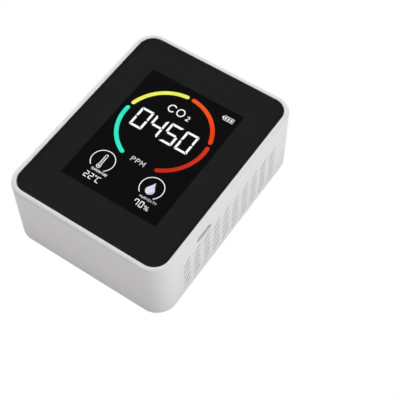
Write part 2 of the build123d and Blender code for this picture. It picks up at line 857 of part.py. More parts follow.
nodes = {
    "housing": make_housing,
    "rear_cover": make_rear_cover,
    "cover_screws": make_cover_screws,
    "rubber_feet": make_rubber_feet,
    "front_lens": make_front_lens,
    "lens_mask": make_lens_mask,
    "lens_tape": make_lens_tape,
    "backlight_tray": make_backlight_tray,
    "reflector_sheet": make_reflector_sheet,
    "light_guide": make_light_guide,
    "backlight_leds": make_backlight_leds,
    "diffuser_sheet": make_diffuser_sheet,
    "rear_polarizer": make_rear_polarizer,
    "display_rear_glass": make_display_rear_glass,
    "display_front_glass": make_display_front_glass,
    "front_polarizer": make_front_polarizer,
    "display_pins": make_display_pins,
    "main_board": make_main_board,
    "board_screws": make_board_screws,
    "microcontroller": make_microcontroller,
    "charger_chip": make_charger_chip,
    "inductor": make_inductor,
    "crystal": make_crystal,
    "capacitors": make_capacitors,
    "climate_sensor": make_climate_sensor,
    "usb_shell": make_usb_shell,
    "usb_tongue": make_usb_tongue,
    "power_button": make_power_button,
    "switch_body": make_switch_body,
    "switch_plunger": make_switch_plunger,
    "battery_cell": make_battery_cell,
    "battery_terminal": make_battery_terminal,
    "battery_wrap": make_battery_wrap,
    "battery_tabs": make_battery_tabs,
    "battery_pad": make_battery_pad,
    "battery_wire_red": make_battery_wire_red,
    "battery_wire_black": make_battery_wire_black,
    "battery_socket": make_battery_socket,
    "battery_plug": make_battery_plug,
    "sensor_board": make_sensor_board,
    "sensor_headers": make_sensor_headers,
    "sensor_pins": make_sensor_pins,
    "gas_chamber": make_gas_chamber,
    "chamber_filter": make_chamber_filter,
    "infrared_lamp": make_infrared_lamp,
    "infrared_detector": make_infrared_detector,
}

os.makedirs("parts", exist_ok=True)
for name, make in nodes.items():
    export_step(make(), f"parts/{name}.step")
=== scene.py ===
import math

import bpy
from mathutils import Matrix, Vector


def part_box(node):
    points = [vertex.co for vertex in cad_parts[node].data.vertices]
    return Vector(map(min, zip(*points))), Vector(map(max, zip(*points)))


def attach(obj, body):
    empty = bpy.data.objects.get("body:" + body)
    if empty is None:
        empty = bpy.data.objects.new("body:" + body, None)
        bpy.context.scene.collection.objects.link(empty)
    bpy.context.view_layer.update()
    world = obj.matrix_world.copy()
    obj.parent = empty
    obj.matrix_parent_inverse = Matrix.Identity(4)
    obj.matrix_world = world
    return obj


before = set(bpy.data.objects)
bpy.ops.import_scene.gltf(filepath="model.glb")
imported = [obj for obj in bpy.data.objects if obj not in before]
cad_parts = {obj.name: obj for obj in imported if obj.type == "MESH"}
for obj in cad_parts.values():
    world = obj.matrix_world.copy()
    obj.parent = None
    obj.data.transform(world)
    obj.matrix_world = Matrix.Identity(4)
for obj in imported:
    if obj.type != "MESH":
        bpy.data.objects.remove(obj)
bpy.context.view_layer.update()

# The scene is in metres, and shapes on the display are worked out in millimetres.
MM = 0.001
case_low, case_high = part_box("housing")
top_z = case_high.z


# ---- camera, lights, floor -----------------------------------------------------------

# Glow of the table beside the case, lowered there as a painted contact shadow, and away from it, and how far from
# the case it is full, in mm.
FLOOR_GLOW_IN_PAINTED_SHADOW = 0.66
FLOOR_GLOW = 0.96
PAINTED_SHADOW_REACH = 35.0

camera_azimuth = math.radians(34.04)
camera_elevation = math.radians(57.50)
camera_distance = 366.9 * MM
camera_lens = 90.0
aim = Vector((28.93 * MM, -11.05 * MM, top_z))


def direction(azimuth, elevation):
    """Unit vector from the object towards that azimuth and elevation, in radians."""
    flat = math.cos(elevation)
    return Vector((math.sin(azimuth) * flat, -math.cos(azimuth) * flat, math.sin(elevation)))


def make_camera():
    """Camera at the viewing angle, looking down at the front of the monitor."""
    data = bpy.data.cameras.new("camera")
    data.lens = camera_lens
    data.sensor_width = 36.0
    data.clip_start = 0.01
    data.clip_end = 20.0
    camera = bpy.data.objects.new("camera", data)
    bpy.context.scene.collection.objects.link(camera)
    towards = direction(camera_azimuth, camera_elevation)
    camera.location = aim + towards * camera_distance
    camera.rotation_mode = "QUATERNION"
    camera.rotation_quaternion = (-towards).to_track_quat("-Z", "Y")
    bpy.context.scene.camera = camera


def make_softbox(name, azimuth, elevation, distance, size, power, mirrored=True):
    """Square area light that faces the middle of the object; unmirrored, it leaves no image in gloss."""
    data = bpy.data.lights.new(name, "AREA")
    data.color = (0.99, 1.0, 1.0)
    data.shape = "SQUARE"
    data.size = size
    data.energy = power
    light = bpy.data.objects.new(name, data)
    bpy.context.scene.collection.objects.link(light)
    towards = direction(math.radians(azimuth), math.radians(elevation))
    light.location = Vector((0, 0, top_z / 2)) + towards * distance
    light.rotation_mode = "QUATERNION"
    light.rotation_quaternion = (-towards).to_track_quat("-Z", "Y")
    # Clear parts already let the lamp's light through, so it isn't found a second time through them.
    light.visible_transmission = False
    light.visible_glossy = mirrored


def make_world():
    """Studio surroundings: dim grey for the light they give, white where they are seen."""
    world = bpy.data.worlds.new("studio")
    bpy.context.scene.world = world
    world.use_nodes = True
    nodes, links = world.node_tree.nodes, world.node_tree.links
    dim = nodes["Background"]
    place = nodes.new("ShaderNodeTexCoord")
    split = nodes.new("ShaderNodeSeparateXYZ")
    ramp = nodes.new("ShaderNodeValToRGB")
    ramp.color_ramp.elements[0].position = 0.25
    ramp.color_ramp.elements[0].color = (0.24, 0.24, 0.245, 1)
    ramp.color_ramp.elements[1].position = 0.75
    ramp.color_ramp.elements[1].color = (0.052, 0.052, 0.053, 1)
    links.new(place.outputs["Generated"], split.inputs[0])
    links.new(split.outputs["Z"], ramp.inputs[0])
    links.new(ramp.outputs[0], dim.inputs["Color"])
    white_wall = nodes.new("ShaderNodeBackground")
    white_wall.inputs["Color"].default_value = (1, 1, 1, 1)
    path = nodes.new("ShaderNodeLightPath")
    mix = nodes.new("ShaderNodeMixShader")
    links.new(path.outputs["Is Camera Ray"], mix.inputs[0])
    links.new(dim.outputs[0], mix.inputs[1])
    links.new(white_wall.outputs[0], mix.inputs[2])
    links.new(mix.outputs[0], nodes["World Output"].inputs["Surface"])


def make_floor():
    """Plain white table, whose glow keeps shadows faint and fades close to the case into a painted contact shadow.
    """
    half = 3.0
    mesh = bpy.data.meshes.new("floor")
    corners = [(-half, -half, 0), (half, -half, 0), (half, half, 0), (-half, half, 0)]
    mesh.from_pydata(corners, [], [(0, 1, 2, 3)])
    floor = bpy.data.objects.new("floor", mesh)
    bpy.context.scene.collection.objects.link(floor)

    m = Maker("floor_white")
    m.set(Base_Color=(0.1, 0.1, 0.1), Roughness=0.9, Specular_IOR_Level=0.1)
    place = m.place
    size = (case_high.x / MM, case_high.y / MM, 0)
    for operation, other in (("ABSOLUTE", None), ("SUBTRACT", size), ("MAXIMUM", (0, 0, 0))):
        step = m.nodes.new("ShaderNodeVectorMath")
        step.operation = operation
        m.links.new(place, step.inputs[0])
        if other:
            step.inputs[1].default_value = other
        place = step.outputs[0]
    distance = m.nodes.new("ShaderNodeVectorMath")
    distance.operation = "LENGTH"
    m.links.new(place, distance.inputs[0])
    # Painted contact shadow: the glow is lowered with nearness to the case in the light the table gives; seen
    # directly, the table stays plain white.
    painted_shadow_fade = m.nodes.new("ShaderNodeMapRange")
    painted_shadow_fade.inputs["From Max"].default_value = PAINTED_SHADOW_REACH
    painted_shadow_fade.inputs["To Min"].default_value = FLOOR_GLOW_IN_PAINTED_SHADOW
    painted_shadow_fade.inputs["To Max"].default_value = FLOOR_GLOW
    m.links.new(distance.outputs["Value"], painted_shadow_fade.inputs["Value"])
    m.links.new(painted_shadow_fade.outputs[0], m.surface.inputs["Emission Strength"])
    m.set(Emission_Color=(1.0, 0.97, 0.97))
    seen = m.nodes.new("ShaderNodeEmission")
    path = m.nodes.new("ShaderNodeLightPath")
    mix = m.nodes.new("ShaderNodeMixShader")
    m.links.new(path.outputs["Is Camera Ray"], mix.inputs[0])
    m.links.new(m.surface.outputs[0], mix.inputs[1])
    m.links.new(seen.outputs[0], mix.inputs[2])
    m.links.new(mix.outputs[0], m.output.inputs["Surface"])
    mesh.materials.append(m.material)


# ---- material building blocks -----------------------------------------------------------

class Maker:
    """Builds one node material, with the object's own coordinates in millimetres."""

    def __init__(self, name):
        self.material = bpy.data.materials.new(name)
        self.material.use_nodes = True
        self.nodes = self.material.node_tree.nodes
        self.links = self.material.node_tree.links
        self.surface = self.nodes["Principled BSDF"]
        self.output = self.nodes["Material Output"]
        place = self.nodes.new("ShaderNodeTexCoord")
        scaled = self.nodes.new("ShaderNodeVectorMath")
        scaled.operation = "SCALE"
        scaled.inputs["Scale"].default_value = 1 / MM
        self.links.new(place.outputs["Object"], scaled.inputs[0])
        self.place = scaled.outputs[0]

    def set(self, **values):
        """Plain values on the Principled node's own sockets."""
        for key, value in values.items():
            socket = self.surface.inputs[key.replace("_", " ")]
            socket.default_value = (*value, 1) if isinstance(value, tuple) else value

    def noise(self, grain, detail=2.0, stretch=None):
        """Noise from 0 to 1 with features of about grain millimetres."""
        place = self.place
        if stretch:
            mapping = self.nodes.new("ShaderNodeMapping")
            mapping.inputs["Scale"].default_value = stretch
            self.links.new(place, mapping.inputs["Vector"])
            place = mapping.outputs[0]
        node = self.nodes.new("ShaderNodeTexNoise")
        node.inputs["Scale"].default_value = 1 / grain
        node.inputs["Detail"].default_value = detail
        self.links.new(place, node.inputs["Vector"])
        return node.outputs["Fac"]

    def cells(self, size, feature="F1"):
        """Distance within cells of about size millimetres."""
        node = self.nodes.new("ShaderNodeTexVoronoi")
        node.feature = feature
        node.inputs["Scale"].default_value = 1 / size
        self.links.new(self.place, node.inputs["Vector"])
        return node.outputs["Distance"]

    def ramp(self, factor, low, high, start=0.3, end=0.7):
        """Colour that runs from low to high as factor goes from start to end."""
        node = self.nodes.new("ShaderNodeValToRGB")
        node.color_ramp.elements[0].position = start
        node.color_ramp.elements[0].color = (*low, 1)
        node.color_ramp.elements[1].position = end
        node.color_ramp.elements[1].color = (*high, 1)
        self.links.new(factor, node.inputs[0])
        return node.outputs[0]

    def spread(self, factor, low, high):
        """Number that runs from low to high with factor."""
        node = self.nodes.new("ShaderNodeMapRange")
        node.inputs["To Min"].default_value = low
        node.inputs["To Max"].default_value = high
        self.links.new(factor, node.inputs["Value"])
        return node.outputs[0]

    def colour(self, socket):
        """Feeds the base colour."""
        self.links.new(socket, self.surface.inputs["Base Color"])

    def roughness(self, socket):
        """Feeds the roughness."""
        self.links.new(socket, self.surface.inputs["Roughness"])

    def bump(self, height, depth):
        """Relief depth millimetres deep, added over any relief there already."""
        node = self.nodes.new("ShaderNodeBump")
        node.inputs["Distance"].default_value = depth * MM
        self.links.new(height, node.inputs["Height"])
        normal = self.surface.inputs["Normal"]
        if normal.is_linked:
            self.links.new(normal.links[0].from_socket, node.inputs["Normal"])
        self.links.new(node.outputs[0], normal)


def shade(colour, factor):
    """The same colour, lighter or darker."""
    return tuple(min(1.0, part * factor) for part in colour)


def moulded_plastic(name, colour, rough=0.42, grain=0.16, depth=0.004, variation=0.03):
    """Moulded plastic with a fine spark-eroded texture and slight flow marks."""
    m = Maker(name)
    m.colour(m.ramp(m.noise(9.0, 3.0), shade(colour, 1 - variation), shade(colour, 1 + variation)))
    m.roughness(m.spread(m.noise(2.5, 4.0), rough - 0.06, rough + 0.06))
    m.bump(m.noise(grain, 2.0), depth)
    return m


def sheet_metal(name, colour, rough=0.28, stretch=(1, 12, 12), depth=0.003):
    """Rolled or drawn metal with fine streaks."""
    m = Maker(name)
    m.set(Metallic=1.0)
    streaks = m.noise(1.2, 4.0, stretch)
    m.colour(m.ramp(streaks, shade(colour, 0.9), shade(colour, 1.06)))
    m.roughness(m.spread(streaks, rough - 0.08, rough + 0.1))
    m.bump(streaks, depth)
    return m


def printed_film(name, colour, rough, grain=0.08):
    """Thin film or ink layer with a barely visible dot grain."""
    m = Maker(name)
    m.colour(m.ramp(m.noise(grain, 1.0), shade(colour, 0.93), shade(colour, 1.07)))
    m.roughness(m.spread(m.noise(3.0, 2.0), rough - 0.04, rough + 0.04))
    m.bump(m.cells(grain), 0.0006)
    return m


def rubber_like(name, colour, rough=0.7, pores=0.25, depth=0.01):
    """Soft matt rubber or foam with fine pores."""
    m = Maker(name)
    m.colour(m.ramp(m.noise(1.5, 4.0), shade(colour, 0.88), shade(colour, 1.1)))
    m.roughness(m.spread(m.noise(0.6, 2.0), rough - 0.08, rough + 0.08))
    m.bump(m.cells(pores), depth)
    return m


def clear_pane(name, tint, rough, ior):
    """Clear sheet that bends what is seen through it and lets lamps through."""
    m = Maker(name)
    m.set(Base_Color=tint, Roughness=rough, IOR=ior, Transmission_Weight=1.0)
    path = m.nodes.new("ShaderNodeLightPath")
    through = m.nodes.new("ShaderNodeBsdfTransparent")
    through.inputs["Color"].default_value = (*tint, 1)
    mix = m.nodes.new("ShaderNodeMixShader")
    m.links.new(path.outputs["Is Shadow Ray"], mix.inputs[0])
    m.links.new(m.surface.outputs[0], mix.inputs[1])
    m.links.new(through.outputs[0], mix.inputs[2])
    m.links.new(mix.outputs[0], m.output.inputs["Surface"])
    return m


# ---- materials of the CAD nodes ------------------------------------------------------------

white = (0.78, 0.775, 0.775)


def case_plastic():
    """Satin white ABS of the case and the rear cover."""
    return moulded_plastic("case_plastic", white, rough=0.40, depth=0.002, variation=0.012)


def button_plastic():
    """The button's own moulding, a touch smoother and greyer."""
    m = moulded_plastic("button_plastic", (0.72, 0.72, 0.72), rough=0.34, variation=0.015)
    m.bump(m.noise(0.5, 1.0), 0.002)
    return m


def mask_ink():
    """Black ink on the back of the lens, which it wets, so that it has no gloss of its own."""
    m = printed_film("mask_ink", (0.0124, 0.0124, 0.0124), 0.5)
    m.set(Specular_IOR_Level=0.0)
    return m


def display_black():
    """Near-black face of the display, under its polarizer."""
    m = printed_film("display_black", (0.0011, 0.0011, 0.0011), 0.35, grain=0.05)
    m.set(Specular_IOR_Level=0.0)
    return m


def board_laminate():
    """Green solder mask with raised tracks."""
    m = Maker("board_laminate")
    tracks = m.nodes.new("ShaderNodeTexBrick")
    tracks.inputs["Scale"].default_value = 0.35
    tracks.inputs["Color1"].default_value = (0.012, 0.13, 0.05, 1)
    tracks.inputs["Color2"].default_value = (0.010, 0.10, 0.04, 1)
    tracks.inputs["Mortar"].default_value = (0.03, 0.22, 0.09, 1)
    tracks.inputs["Mortar Size"].default_value = 0.035
    m.links.new(m.place, tracks.inputs["Vector"])
    m.colour(tracks.outputs["Color"])
    m.roughness(m.spread(m.noise(1.5, 3.0), 0.22, 0.4))
    m.bump(tracks.outputs["Fac"], 0.03)
    m.set(Coat_Weight=0.3)
    return m


def chip_epoxy():
    """Moulded chip packages: dark grey with a coarse blasted face."""
    return moulded_plastic("chip_epoxy", (0.028, 0.028, 0.03), rough=0.5, grain=0.1, depth=0.008, variation=0.12)


def ceramic_chip():
    """Tan ceramic of the small capacitors."""
    return moulded_plastic("ceramic_chip", (0.42, 0.29, 0.17), rough=0.45, grain=0.08, variation=0.1)


def membrane_cloth():
    """White porous membrane over the gas chamber."""
    m = Maker("membrane_cloth")
    weave = m.nodes.new("ShaderNodeTexWave")
    weave.inputs["Scale"].default_value = 3.0
    weave.inputs["Distortion"].default_value = 3.0
    m.links.new(m.place, weave.inputs["Vector"])
    m.colour(m.ramp(weave.outputs["Fac"], (0.7, 0.7, 0.68), (0.9, 0.9, 0.88)))
    m.bump(weave.outputs["Fac"], 0.02)
    m.set(Roughness=0.9, Sheen_Weight=0.3)
    return m


def light_guide_acrylic():
    """Clear acrylic with a grid of printed dots on its back."""
    m = clear_pane("light_guide_acrylic", (0.93, 0.95, 0.96), 0.03, 1.49)
    m.bump(m.cells(0.8), 0.01)
    return m


def cell_wrap():
    """Shrunk blue film round the cell, with faint wrinkles along it."""
    m = Maker("cell_wrap")
    m.colour(m.ramp(m.noise(6.0, 3.0), (0.02, 0.11, 0.30), (0.03, 0.15, 0.38)))
    m.roughness(m.spread(m.noise(1.0, 2.0), 0.18, 0.3))
    m.bump(m.noise(1.2, 3.0, (1, 0.15, 1)), 0.02)
    m.set(Coat_Weight=0.4)
    return m


def bulb_glass():
    """Thin glass of the infrared lamp."""
    return clear_pane("bulb_glass", (0.95, 0.94, 0.9), 0.02, 1.45)


def lamp_phosphor():
    """Yellow phosphor of the backlight lamps."""
    m = moulded_plastic("lamp_phosphor", (0.85, 0.74, 0.25), rough=0.5, variation=0.06)
    m.set(Emission_Color=(1.0, 0.95, 0.8), Emission_Strength=0.4)
    return m


def paint_cad_nodes():
    """Gives every CAD node its material."""
    screw_steel = sheet_metal("screw_steel", (0.60, 0.60, 0.61), rough=0.3, stretch=(1, 1, 1))
    pin_gold = sheet_metal("pin_gold", (0.86, 0.66, 0.28), rough=0.22, stretch=(4, 4, 1))
    can_nickel = sheet_metal("can_nickel", (0.72, 0.70, 0.66), rough=0.24)
    cell_steel = sheet_metal("cell_steel", (0.66, 0.65, 0.63), rough=0.25, stretch=(6, 1, 6))
    strip_nickel = sheet_metal("strip_nickel", (0.74, 0.71, 0.65), rough=0.35, stretch=(1, 1, 6))
    port_steel = sheet_metal("port_steel", (0.93, 0.93, 0.93), rough=0.62, stretch=(1, 8, 8))
    chamber_gold = sheet_metal("chamber_gold", (0.80, 0.60, 0.25), rough=0.3, stretch=(1, 1, 1))
    nylon = moulded_plastic("black_nylon", (0.02, 0.02, 0.02), rough=0.45, variation=0.1)
    ivory = moulded_plastic("connector_ivory", (0.80, 0.75, 0.62), rough=0.4)
    tray = moulded_plastic("tray_plastic", (0.85, 0.85, 0.83), rough=0.5)
    glass = clear_pane("display_glass", (0.90, 0.94, 0.93), 0.0, 1.52)
    film = display_black()
    laminate = board_laminate()
    epoxy = chip_epoxy()
    plastic = case_plastic()
    by_node = {
        "housing": plastic,
        "rear_cover": plastic,
        "cover_screws": screw_steel,
        "rubber_feet": rubber_like("silicone_pad", (0.30, 0.30, 0.31), rough=0.6),
        "front_lens": clear_pane("lens_clear", (0.97, 0.975, 0.98), 0.0, 1.49),
        "lens_mask": mask_ink(),
        "lens_tape": rubber_like("lens_tape_foam", (0.03, 0.03, 0.03)),
        "backlight_tray": tray,
        "reflector_sheet": printed_film("reflector_white", (0.9, 0.9, 0.9), 0.4),
        "light_guide": light_guide_acrylic(),
        "backlight_leds": lamp_phosphor(),
        "diffuser_sheet": printed_film("diffuser_milky", (0.85, 0.85, 0.86), 0.6),
        "rear_polarizer": film,
        "display_rear_glass": glass,
        "display_front_glass": glass,
        "front_polarizer": film,
        "display_pins": pin_gold,
        "main_board": laminate,
        "board_screws": screw_steel,
        "microcontroller": epoxy,
        "charger_chip": epoxy,
        "inductor": moulded_plastic("ferrite", (0.07, 0.07, 0.075), rough=0.55, grain=0.3, depth=0.02),
        "crystal": can_nickel,
        "capacitors": ceramic_chip(),
        "climate_sensor": epoxy,
        "usb_shell": port_steel,
        "usb_tongue": nylon,
        "power_button": button_plastic(),
        "switch_body": nylon,
        "switch_plunger": nylon,
        "battery_cell": cell_steel,
        "battery_terminal": can_nickel,
        "battery_wrap": cell_wrap(),
        "battery_tabs": strip_nickel,
        "battery_pad": rubber_like("pad_foam", (0.07, 0.07, 0.07), rough=0.85, pores=0.4, depth=0.05),
        "battery_wire_red": rubber_like("insulation_red", (0.50, 0.02, 0.02), rough=0.4, depth=0.002),
        "battery_wire_black": rubber_like("insulation_black", (0.02, 0.02, 0.02), rough=0.4, depth=0.002),
        "battery_socket": ivory,
        "battery_plug": ivory,
        "sensor_board": laminate,
        "sensor_headers": nylon,
        "sensor_pins": pin_gold,
        "gas_chamber": chamber_gold,
        "chamber_filter": membrane_cloth(),
        "infrared_lamp": bulb_glass(),
        "infrared_detector": can_nickel,
    }
    for name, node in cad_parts.items():
        node.data.materials.clear()
        node.data.materials.append(by_node[name].material)


# ---- flat shapes of the display ---------------------------------------------------------------

# Lit shapes are thin plates between the polarizer and the mask, in up to two layers.
LAYER_THICKNESS = 0.02 * MM
first_layer_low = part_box("front_polarizer")[1].z + 0.01 * MM
ARC_STEP = math.radians(4)


class Plate:
    """Collects flat outlines, in millimetres on the display, and makes one thin mesh of them."""

    def __init__(self, name, shift=(0.0, 0.0), level=0):
        self.name = name
        self.shift = shift
        self.low = first_layer_low + level * 1.2 * LAYER_THICKNESS
        self.high = self.low + LAYER_THICKNESS
        self.points = []
        self.faces = []

    def polygon(self, outline):
        """Solid plate with that outline, whose points run anticlockwise."""
        start, count = len(self.points), len(outline)
        for z in (self.low, self.high):
            self.points += [((x + self.shift[0]) * MM, (y + self.shift[1]) * MM, z) for x, y in outline]
        self.faces.append([start + i for i in reversed(range(count))])
        self.faces.append([start + count + i for i in range(count)])
        for i in range(count):
            j = (i + 1) % count
            self.faces.append([start + i, start + j, start + count + j, start + count + i])

    def strip(self, left, right, closed=False):
        """Solid band between two lines of the same number of points."""
        start, count = len(self.points), len(left)
        for line, z in ((left, self.low), (right, self.low), (left, self.high), (right, self.high)):
            self.points += [((x + self.shift[0]) * MM, (y + self.shift[1]) * MM, z) for x, y in line]
        low_left, low_right, high_left, high_right = (start + count * k for k in range(4))
        for i in range(count if closed else count - 1):
            j = (i + 1) % count
            self.faces.append([high_left + i, high_right + i, high_right + j, high_left + j])
            self.faces.append([low_left + i, low_left + j, low_right + j, low_right + i])
            self.faces.append([low_left + i, high_left + i, high_left + j, low_left + j])
            self.faces.append([low_right + i, low_right + j, high_right + j, high_right + i])
        if not closed:
            last = count - 1
            self.faces.append([low_left, low_right, high_right, high_left])
            self.faces.append([low_left + last, high_left + last, high_right + last, low_right + last])

    def stroke(self, line, width, closed=False, round_ends=False):
        """Band of even width along a line of points, with mitred turns."""
        count = len(line)
        left, right = [], []
        for i, point in enumerate(line):
            before = line[i - 1] if closed or i else None
            after = line[(i + 1) % count] if closed or i < count - 1 else None
            side, reach = mitre(before, point, after)
            half = width / 2 * reach
            left.append((point[0] - side[1] * half, point[1] + side[0] * half))
            right.append((point[0] + side[1] * half, point[1] - side[0] * half))
        if round_ends:
            for end, inner, at_start in ((0, 1, True), (-1, -2, False)):
                caps = cap_pairs(line[end], line[inner], width / 2)
                for near_left, near_right in caps:
                    if at_start:
                        left.insert(0, near_left)
                        right.insert(0, near_right)
                    else:
                        left.append(near_right)
                        right.append(near_left)
        self.strip(left, right, closed)

    def build(self, material):
        """The mesh object, on the case and with its material."""
        mesh = bpy.data.meshes.new(self.name)
        mesh.from_pydata(self.points, [], self.faces)
        mesh.validate()
        mesh.materials.append(material)
        piece = bpy.data.objects.new(self.name, mesh)
        bpy.context.scene.collection.objects.link(piece)
        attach(piece, "case")
        return piece


def mitre(before, point, after):
    """Unit direction of travel at a point, and how far the mitre reaches beyond the half width."""
    steps = []
    for a, b in ((before, point), (point, after)):
        if a is not None and b is not None:
            steps.append(Vector((b[0] - a[0], b[1] - a[1])).normalized())
    travel = sum(steps, Vector((0, 0))).normalized()
    return travel, 1 / max(0.4, travel.dot(steps[0]))


def cap_pairs(end, inner, radius):
    """Point pairs that round off the end of a band, from the end outwards."""
    out = Vector((end[0] - inner[0], end[1] - inner[1])).normalized()
    pairs = []
    for k in range(1, 7):
        turn = math.radians(15 * k)
        ahead, half = radius * math.sin(turn), radius * max(math.cos(turn), 0.02)
        x, y = end[0] + out.x * ahead, end[1] + out.y * ahead
        pairs.append(((x + out.y * half, y - out.x * half), (x - out.y * half, y + out.x * half)))
    return pairs


def arc(centre, radius, start, end, aspect=1.0):
    """Points along an arc, in degrees anticlockwise from +X; aspect stretches it along X."""
    start, end = math.radians(start), math.radians(end)
    count = max(3, int(abs(end - start) / ARC_STEP) + 1)
    turns = [start + (end - start) * i / (count - 1) for i in range(count)]
    return [(centre[0] + radius * aspect * math.cos(t), centre[1] + radius * math.sin(t)) for t in turns]


def ring(centre, radius, aspect=1.0):
    """Points of a closed circle or ellipse, without repeating the first."""
    return arc(centre, radius, 0, 360, aspect)[:-1]


# ---- seven-segment figures and small letters ------------------------------------------------------

SEGMENTS_OF = {"0": "abcdef", "2": "abged", "4": "fgbc", "5": "afgcd", "7": "abcf", "C": "afed"}


def segment_outlines(width, height, thick, gap):
    """Outline of each of the seven bars, with mitred ends, for a figure at the origin."""
    middle, half = height / 2, thick / 2
    right = width - thick
    top_bar = [(gap, height), (thick + gap, height - thick), (right - gap, height - thick), (width - gap, height)]
    upper_left = [(0, middle + gap), (half, middle + gap), (thick, middle + half + gap),
                  (thick, height - thick - gap), (0, height - gap)]
    middle_bar = [(half + gap, middle), (thick + gap, middle - half), (right - gap, middle - half),
                  (width - half - gap, middle), (right - gap, middle + half), (thick + gap, middle + half)]

    def mirrored(outline):
        return [(width - x, y) for x, y in reversed(outline)]

    def flipped(outline):
        return [(x, height - y) for x, y in reversed(outline)]

    return {"a": top_bar, "d": flipped(top_bar), "f": upper_left, "e": flipped(upper_left),
            "b": mirrored(upper_left), "c": flipped(mirrored(upper_left)), "g": middle_bar}


def add_figure(plate, sign, x, y, width, height, thick, gap):
    """One seven-segment sign with its lower left corner at x, y."""
    outlines = segment_outlines(width, height, thick, gap)
    for bar in SEGMENTS_OF[sign]:
        plate.polygon([(x + px, y + py) for px, py in outlines[bar]])


def letter_strokes(letter):
    """Strokes of a small capital in a box one unit high and 0.6 wide."""
    w, m = 0.6, 0.3
    bowl = [(0, 0), (0, 1), (w - 0.22, 1)] + arc((w - 0.24, 0.76), 0.24, 75, -75) + [(0.08, 0.52)]
    strokes = {
        "A": [[(0, 0), (m, 1), (w, 0)], [(0.14, 0.34), (w - 0.14, 0.34)]],
        "D": [[(0, 0), (0, 1), (w - 0.3, 1)] + arc((w - 0.34, 0.5), 0.5, 75, -75, 0.7) + [(w - 0.3, 0), (0.08, 0)]],
        "E": [[(w, 1), (0, 1), (0, 0), (w, 0)], [(0.08, 0.52), (w - 0.1, 0.52)]],
        "H": [[(0, 0), (0, 1)], [(w, 0), (w, 1)], [(0.08, 0.5), (w - 0.08, 0.5)]],
        "I": [[(m, 0), (m, 1)]],
        "M": [[(0, 0), (0, 1), (m, 0.35), (w, 1), (w, 0)]],
        "P": [bowl],
        "R": [bowl, [(0.3, 0.46), (w, 0)]],
        "T": [[(m, 0), (m, 0.92)], [(0, 1), (w, 1)]],
        "U": [[(0, 1), (0, 0.25)] + arc((m, 0.28), 0.28, 195, 345) + [(w, 0.25), (w, 1)]],
        "Y": [[(0, 1), (m, 0.48), (w, 1)], [(m, 0), (m, 0.42)]],
    }
    return strokes[letter]


def add_letter(plate, letter, x, y, width, height, stroke):
    """One small capital with its lower left corner at x, y."""
    for line in letter_strokes(letter):
        plate.stroke([(x + px * width / 0.6, y + py * height) for px, py in line], stroke)


def add_word(plate, word, x_low, x_high, y, height, stroke):
    """Word of small capitals spread evenly between two places."""
    pitch = (x_high - x_low) / len(word)
    for index, letter in enumerate(word):
        add_letter(plate, letter, x_low + index * pitch, y, 0.7 * pitch, height, stroke)


# ---- what the display shows --------------------------------------------------------------------

# Places are as seen from the camera on the face of the lens, which bends the view of the display
# behind it. This shift brings them back to where the shapes really lie.
DISPLAY_SHIFT = (-0.34, 0.5)
GAUGE_CENTRE = (-0.08, 7.42)
GAUGE_RADIUS = 18.52
GAUGE_WIDTH = 1.74
ICON_RING_RADIUS = 4.82
ICON_RING_WIDTH = 0.31
SMALL_WIDTH = 1.6
SMALL_HEIGHT = 2.75
SMALL_THICK = 0.31
SMALL_GAP = 0.05


def glow(name, low, high, gradient=None, strength=1.0):
    """Lit display colour: light of the backlight through the colour film, slightly uneven."""
    m = Maker(name)
    if gradient:
        split = m.nodes.new("ShaderNodeSeparateXYZ")
        m.links.new(m.place, split.inputs[0])
        along = m.nodes.new("ShaderNodeMapRange")
        along.inputs["From Min"].default_value, along.inputs["From Max"].default_value = gradient
        m.links.new(split.outputs["Y"], along.inputs["Value"])
        light = m.ramp(along.outputs[0], low, high, 0.0, 1.0)
    else:
        light = m.ramp(m.noise(4.0, 2.0), low, high)
    m.links.new(light, m.surface.inputs["Emission Color"])
    m.set(Base_Color=shade(high, 0.02), Emission_Strength=strength, Roughness=0.5, Specular_IOR_Level=0.0)
    return m.material


def srgb(red, green, blue):
    """Linear colour of an 8-bit display colour."""
    parts = (red / 255, green / 255, blue / 255)
    return tuple(p / 12.92 if p <= 0.04045 else ((p + 0.055) / 1.055) ** 2.4 for p in parts)


def make_gauge():
    """Four coloured arcs of the gauge, from good air at the lower left to bad at the lower right."""
    cap = math.degrees(GAUGE_WIDTH / 2 / GAUGE_RADIUS)
    arcs = [
        ("gauge_teal", 172.8, 247.5, "display_teal", srgb(44, 238, 196), srgb(56, 248, 210), None),
        ("gauge_yellow", 93.0, 168.5, "display_yellow", srgb(244, 248, 92), srgb(252, 255, 108), None),
        ("gauge_orange", 13.3, 89.1, "display_orange", srgb(243, 64, 15), srgb(248, 92, 32), (18, 27)),
        ("gauge_red", -66.6, 9.5, "display_red", srgb(206, 40, 20), srgb(214, 56, 32), (-8, 10)),
    ]
    for name, start, end, slot_name, low, high, gradient in arcs:
        plate = Plate(name, DISPLAY_SHIFT)
        line = arc(GAUGE_CENTRE, GAUGE_RADIUS, start + cap, end - cap)
        plate.stroke(line, GAUGE_WIDTH, round_ends=True)
        plate.build(glow(name + "_light", low, high, gradient))


